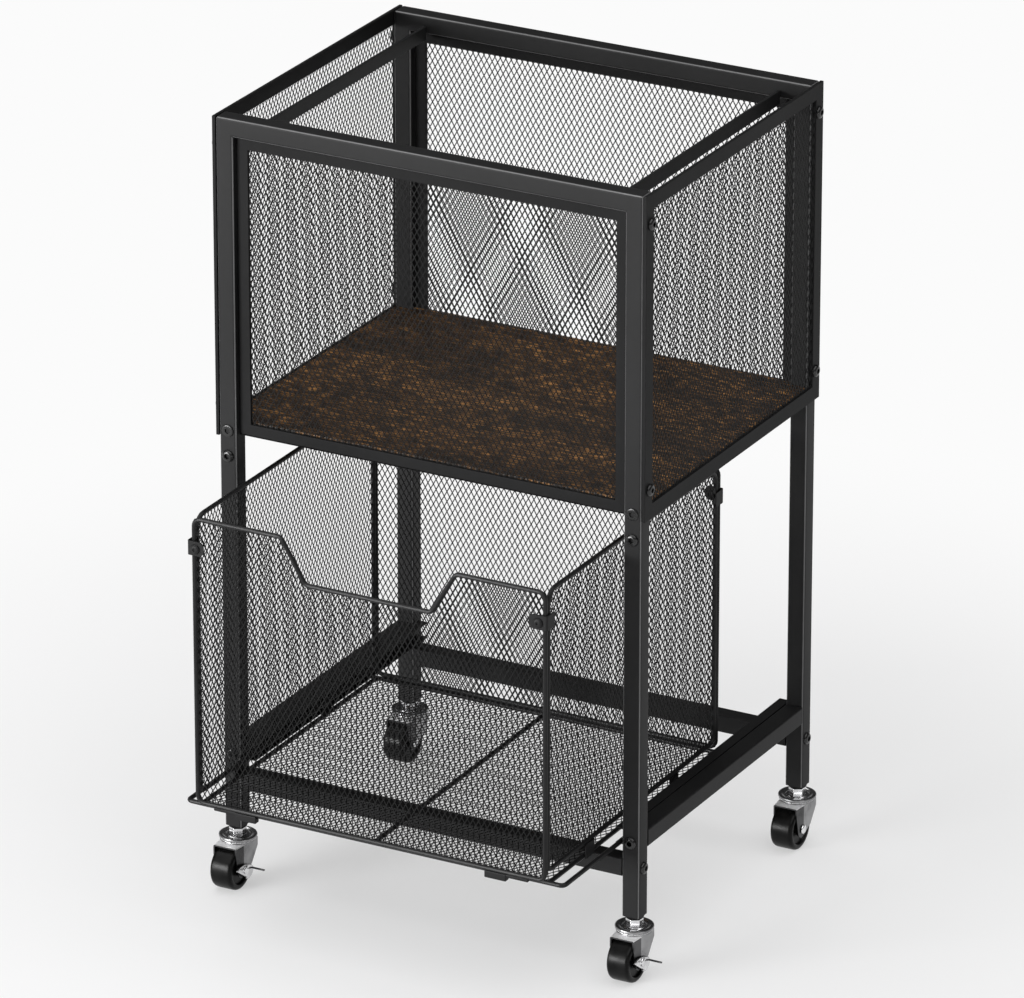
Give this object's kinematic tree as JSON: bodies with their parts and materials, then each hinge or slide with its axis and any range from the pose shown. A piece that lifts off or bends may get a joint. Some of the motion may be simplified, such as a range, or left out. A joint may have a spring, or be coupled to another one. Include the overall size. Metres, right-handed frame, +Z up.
{
  "type": "mobile file cart",
  "caption": "Rolling file cart: open mesh bin with hang rails over a wooden shelf, sliding mesh drawer below, square tube frame on swivel casters with brakes.",
  "frame": {"origin": "on the floor, under the middle of the tube frame", "axes": "+X to the right, +Y to the back, +Z up; the drawer opens towards -Y"},
  "size_m": [0.4179, 0.4233, 0.685],
  "materials": {
    "black_powder_coat": "satin black powder coat",
    "dark_wood": "dark rustic board",
    "dark_steel": "blackened steel",
    "chrome": "bright plated",
    "black_plastic": "matt black"
  },
  "bodies": {
    "frame": {"front_frame": "black_powder_coat", "rear_frame": "black_powder_coat", "front_mesh_panel": "black_powder_coat", "rear_mesh_panel": "black_powder_coat", "left_side_panel": "black_powder_coat", "right_side_panel": "black_powder_coat", "left_hang_rail": "black_powder_coat", "right_hang_rail": "black_powder_coat", "left_side_rail": "black_powder_coat", "right_side_rail": "black_powder_coat", "front_cross_rail": "black_powder_coat", "rear_cross_rail": "black_powder_coat", "shelf_board": "dark_wood", "front_left_leg": "black_powder_coat", "front_left_leg_connector": "dark_steel", "front_left_leg_plug": "black_plastic", "left_front_upper_bolt": "dark_steel", "left_front_lower_bolt": "dark_steel", "front_left_caster_stem": "chrome", "front_right_leg": "black_powder_coat", "front_right_leg_connector": "dark_steel", "front_right_leg_plug": "black_plastic", "right_front_upper_bolt": "dark_steel", "right_front_lower_bolt": "dark_steel", "front_right_caster_stem": "chrome", "rear_left_leg": "black_powder_coat", "rear_left_leg_connector": "dark_steel", "rear_left_leg_plug": "black_plastic", "left_rear_upper_bolt": "dark_steel", "left_rear_lower_bolt": "dark_steel", "rear_left_caster_stem": "chrome", "rear_right_leg": "black_powder_coat", "rear_right_leg_connector": "dark_steel", "rear_right_leg_plug": "black_plastic", "right_rear_upper_bolt": "dark_steel", "right_rear_lower_bolt": "dark_steel", "rear_right_caster_stem": "chrome"},
    "drawer": {"drawer_front": "black_powder_coat", "drawer_back": "black_powder_coat", "drawer_left_side": "black_powder_coat", "drawer_right_side": "black_powder_coat", "drawer_floor": "black_powder_coat", "front_left_corner_clip": "black_powder_coat", "front_right_corner_clip": "black_powder_coat", "rear_left_corner_clip": "black_powder_coat", "rear_right_corner_clip": "black_powder_coat"},
    "front_left_caster_swivel": {"front_left_caster_fork": "chrome", "front_left_caster_axle": "dark_steel"},
    "front_left_caster_roller": {"front_left_caster_wheel": "black_plastic"},
    "front_left_caster_brake": {"front_left_caster_brake_lever": "chrome"},
    "front_right_caster_swivel": {"front_right_caster_fork": "chrome", "front_right_caster_axle": "dark_steel"},
    "front_right_caster_roller": {"front_right_caster_wheel": "black_plastic"},
    "front_right_caster_brake": {"front_right_caster_brake_lever": "chrome"},
    "rear_left_caster_swivel": {"rear_left_caster_fork": "chrome", "rear_left_caster_axle": "dark_steel"},
    "rear_left_caster_roller": {"rear_left_caster_wheel": "black_plastic"},
    "rear_right_caster_swivel": {"rear_right_caster_fork": "chrome", "rear_right_caster_axle": "dark_steel"},
    "rear_right_caster_roller": {"rear_right_caster_wheel": "black_plastic"}
  },
  "joints": [
    {"name": "drawer_slide", "type": "slide", "parent": "frame", "child": "drawer", "axis": [0, -1, 0], "range_m": [-0.1015, 0.09]},
    {"name": "front_left_caster_turn", "type": "hinge", "parent": "frame", "child": "front_left_caster_swivel", "pos_m": [-0.188, -0.148, 0.0405], "axis": [0, 0, 1], "continuous": true},
    {"name": "front_left_caster_roll", "type": "hinge", "parent": "front_left_caster_swivel", "child": "front_left_caster_roller", "pos_m": [-0.188, -0.1605, 0.019], "axis": [1, 0, 0], "continuous": true},
    {"name": "front_left_caster_brake_press", "type": "hinge", "parent": "front_left_caster_swivel", "child": "front_left_caster_brake", "pos_m": [-0.188, -0.1605, 0.019], "axis": [1, 0, 0], "range_deg": [-30, 0]},
    {"name": "front_right_caster_turn", "type": "hinge", "parent": "frame", "child": "front_right_caster_swivel", "pos_m": [0.188, -0.148, 0.0405], "axis": [0, 0, 1], "continuous": true},
    {"name": "front_right_caster_roll", "type": "hinge", "parent": "front_right_caster_swivel", "child": "front_right_caster_roller", "pos_m": [0.188, -0.1605, 0.019], "axis": [1, 0, 0], "continuous": true},
    {"name": "front_right_caster_brake_press", "type": "hinge", "parent": "front_right_caster_swivel", "child": "front_right_caster_brake", "pos_m": [0.188, -0.1605, 0.019], "axis": [1, 0, 0], "range_deg": [-30, 0]},
    {"name": "rear_left_caster_turn", "type": "hinge", "parent": "frame", "child": "rear_left_caster_swivel", "pos_m": [-0.188, 0.148, 0.0405], "axis": [0, 0, 1], "continuous": true},
    {"name": "rear_left_caster_roll", "type": "hinge", "parent": "rear_left_caster_swivel", "child": "rear_left_caster_roller", "pos_m": [-0.188, 0.1355, 0.019], "axis": [1, 0, 0], "continuous": true},
    {"name": "rear_right_caster_turn", "type": "hinge", "parent": "frame", "child": "rear_right_caster_swivel", "pos_m": [0.188, 0.148, 0.0405], "axis": [0, 0, 1], "continuous": true},
    {"name": "rear_right_caster_roll", "type": "hinge", "parent": "rear_right_caster_swivel", "child": "rear_right_caster_roller", "pos_m": [0.188, 0.1355, 0.019], "axis": [1, 0, 0], "continuous": true}
  ]
}
